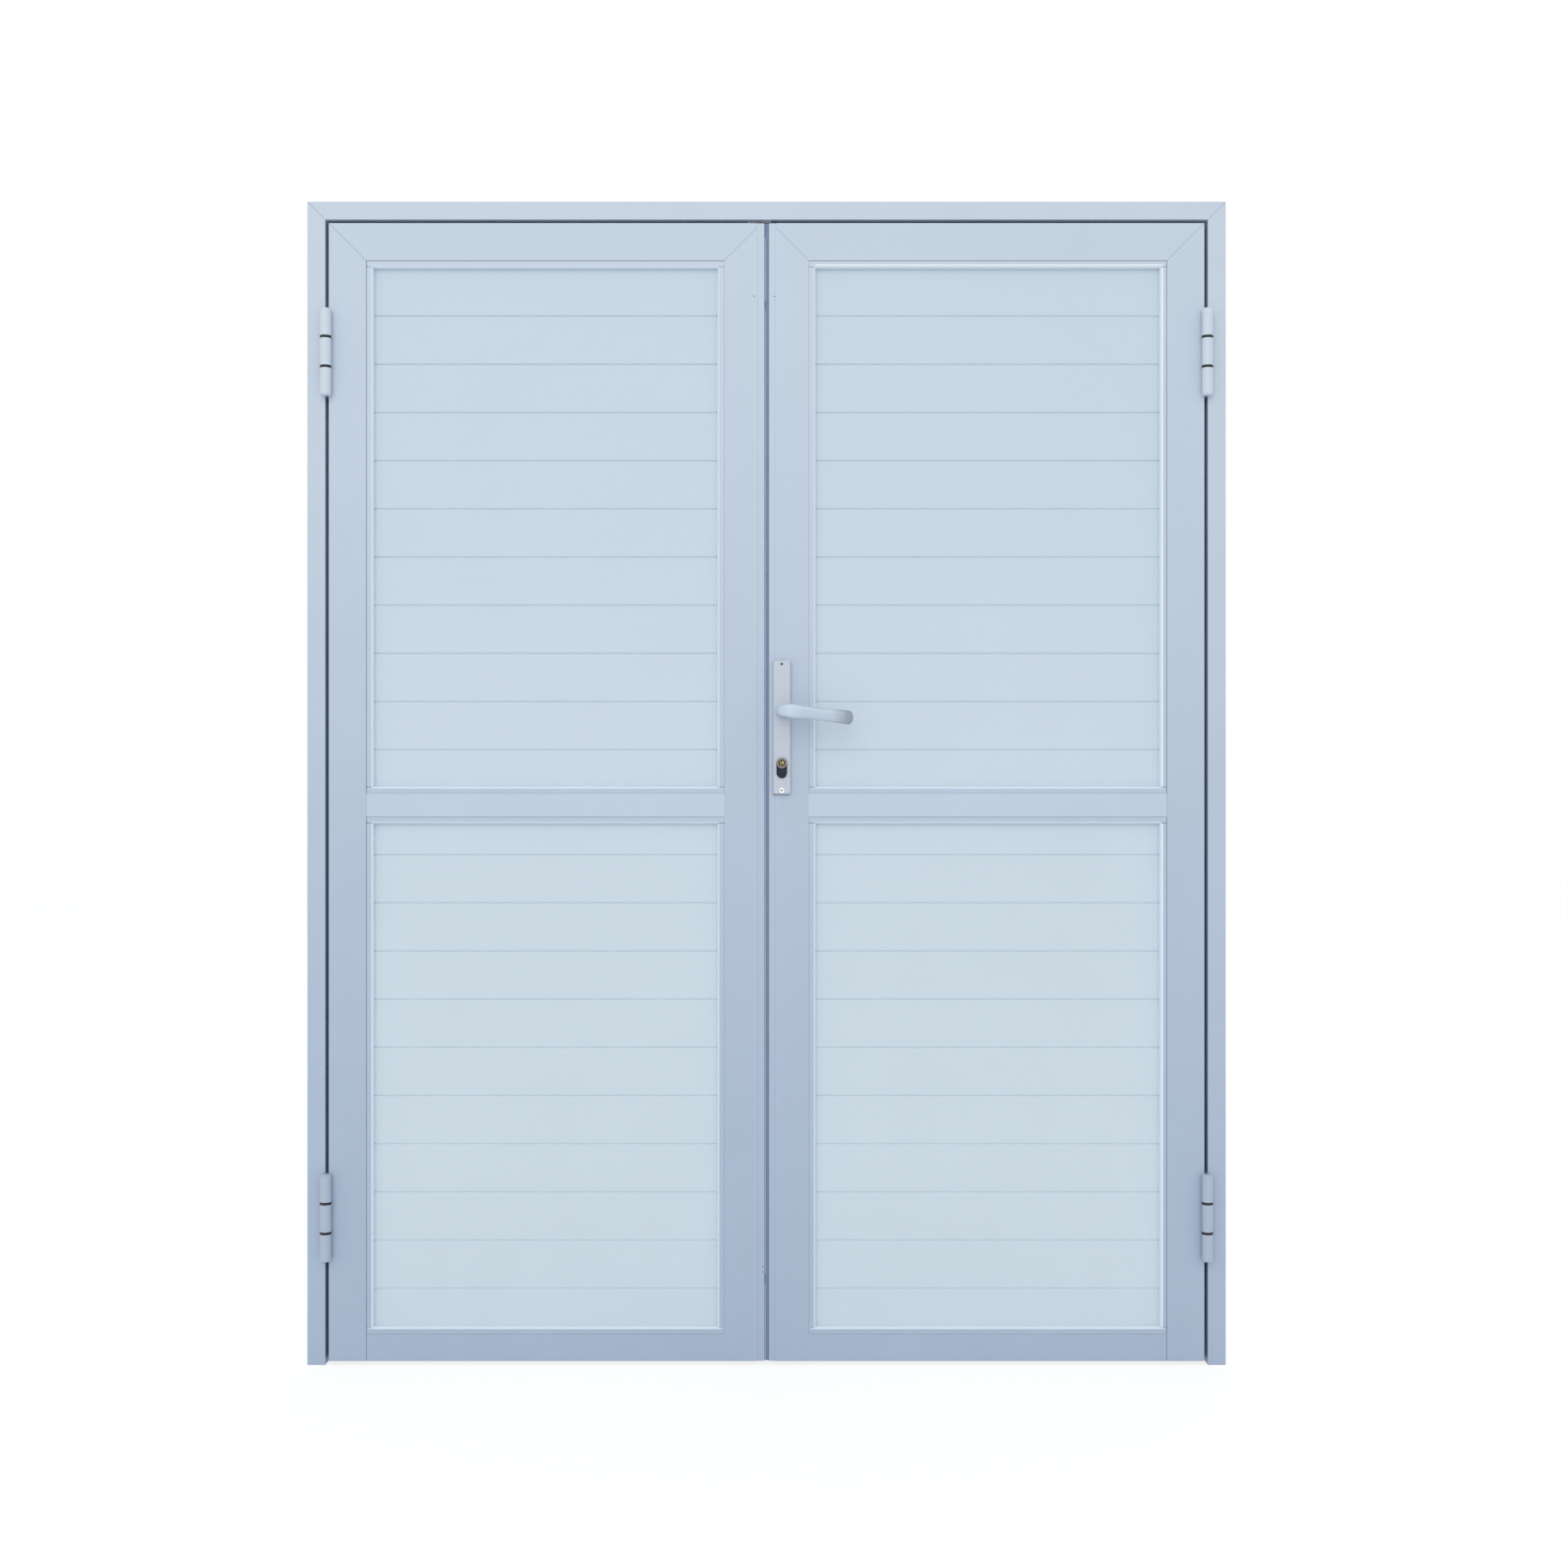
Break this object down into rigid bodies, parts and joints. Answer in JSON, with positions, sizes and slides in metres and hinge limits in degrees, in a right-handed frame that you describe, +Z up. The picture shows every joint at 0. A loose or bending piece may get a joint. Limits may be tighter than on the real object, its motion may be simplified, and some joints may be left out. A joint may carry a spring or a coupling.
{
  "type": "double door",
  "caption": "Aluminium double door in its frame, with panels of interlocking hollow planks, a lever handle with cylinder lock, flush bolts and knuckle hinges.",
  "frame": {"origin": "on the floor line, midway between the jambs and midway through the leaves", "axes": "+X to the right seen from outside, +Y from outside to inside, +Z up"},
  "size_m": [1.5, 0.156, 1.9],
  "materials": {
    "frame_profile": "satin powder coat, cool light grey",
    "leaf_profile": "satin powder coat, cool light grey",
    "plank": "satin powder coat, cool light grey",
    "bead": "satin powder coat, cool light grey",
    "gasket": "matt black EPDM",
    "hinge": "satin powder coat, light grey",
    "hinge_pin": "stainless steel",
    "nylon": "matt dark grey nylon",
    "cleat": "mill finish",
    "screw": "zinc plated",
    "lever": "silver lacquer, satin",
    "backplate": "silver lacquer, satin",
    "lock_steel": "zinc plated",
    "lock_plate": "brushed stainless steel",
    "bolt": "nickel plated",
    "flush_bolt": "zinc plated",
    "cylinder": "dark nickel plated"
  },
  "bodies": {
    "frame": {"head_profile": "frame_profile", "left_jamb_profile": "frame_profile", "right_jamb_profile": "frame_profile", "frame_corner_cleats": "cleat", "head_gasket": "gasket", "left_jamb_gasket": "gasket", "right_jamb_gasket": "gasket", "left_frame_hinge_wings": "hinge", "right_frame_hinge_wings": "hinge", "left_hinge_pins": "hinge_pin", "right_hinge_pins": "hinge_pin", "head_bolt_keep": "lock_plate", "frame_screws": "screw"},
    "left_leaf": {"left_hinge_stile": "leaf_profile", "left_top_rail": "leaf_profile", "left_middle_rail": "leaf_profile", "left_bottom_rail": "leaf_profile", "left_upper_planks": "plank", "left_lower_planks": "plank", "left_upper_beads": "bead", "left_lower_beads": "bead", "left_leaf_connectors": "cleat", "left_leaf_hinge_wings": "hinge", "left_hinge_bushes": "nylon", "left_meeting_stile": "leaf_profile", "left_meeting_adaptor": "leaf_profile", "left_leaf_screws": "screw", "strike_plate": "lock_plate", "flush_bolt_fronts": "lock_plate", "flush_bolt_guides": "nylon"},
    "top_flush_bolt": {"top_flush_bolt": "flush_bolt"},
    "bottom_flush_bolt": {"bottom_flush_bolt": "flush_bolt"},
    "right_leaf": {"right_hinge_stile": "leaf_profile", "right_top_rail": "leaf_profile", "right_middle_rail": "leaf_profile", "right_bottom_rail": "leaf_profile", "right_upper_planks": "plank", "right_lower_planks": "plank", "right_upper_beads": "bead", "right_lower_beads": "bead", "right_leaf_connectors": "cleat", "right_leaf_hinge_wings": "hinge", "right_hinge_bushes": "nylon", "right_meeting_stile": "leaf_profile", "right_meeting_adaptor": "leaf_profile", "right_leaf_screws": "screw", "meeting_seal": "gasket", "lock_case": "lock_steel", "lock_forend": "lock_plate", "front_backplate": "backplate", "rear_backplate": "backplate", "handle_screws": "screw", "cylinder_body": "cylinder"},
    "lever": {"front_lever": "lever", "rear_lever": "lever", "spindle": "lock_steel", "follower": "lock_steel"},
    "latch": {"latch_bolt": "bolt"},
    "dead_bolt": {"dead_bolt": "bolt"},
    "cylinder_rotor": {"cylinder_rotor": "cylinder"}
  },
  "joints": [
    {"name": "left_leaf_swing", "type": "hinge", "parent": "frame", "child": "left_leaf", "pos_m": [-0.718, -0.029, 0.9475], "axis": [0, 0, -1], "range_deg": [0, 175]},
    {"name": "right_leaf_swing", "type": "hinge", "parent": "frame", "child": "right_leaf", "pos_m": [0.718, -0.029, 0.9475], "axis": [0, 0, 1], "range_deg": [0, 175]},
    {"name": "lever_turn", "type": "hinge", "parent": "right_leaf", "child": "lever", "pos_m": [0.025, 0, 1.068], "axis": [0, 1, 0], "range_deg": [-7, 38], "stiffness_Nm_per_rad": 1, "springref_deg": -5.26},
    {"name": "latch_slide", "type": "slide", "parent": "right_leaf", "child": "latch", "axis": [1, 0, 0], "range_m": [-0.003, 0.0155]},
    {"name": "cylinder_turn", "type": "hinge", "parent": "right_leaf", "child": "cylinder_rotor", "pos_m": [0.025, 0, 0.983], "axis": [0, 1, 0], "range_deg": [0, 362]},
    {"name": "dead_bolt_slide", "type": "slide", "parent": "right_leaf", "child": "dead_bolt", "axis": [-1, 0, 0], "range_m": [0, 0.02]},
    {"name": "top_flush_slide", "type": "slide", "parent": "left_leaf", "child": "top_flush_bolt", "axis": [0, 0, 1], "range_m": [0, 0.02]},
    {"name": "bottom_flush_slide", "type": "slide", "parent": "left_leaf", "child": "bottom_flush_bolt", "axis": [0, 0, -1], "range_m": [0, 0.02]}
  ],
  "couplings": [
    {"joint": "latch_slide", "follows": "lever_turn", "m_per_rad": 0.022918},
    {"joint": "cylinder_turn", "follows": "dead_bolt_slide", "rad_per_m": 314.16}
  ]
}
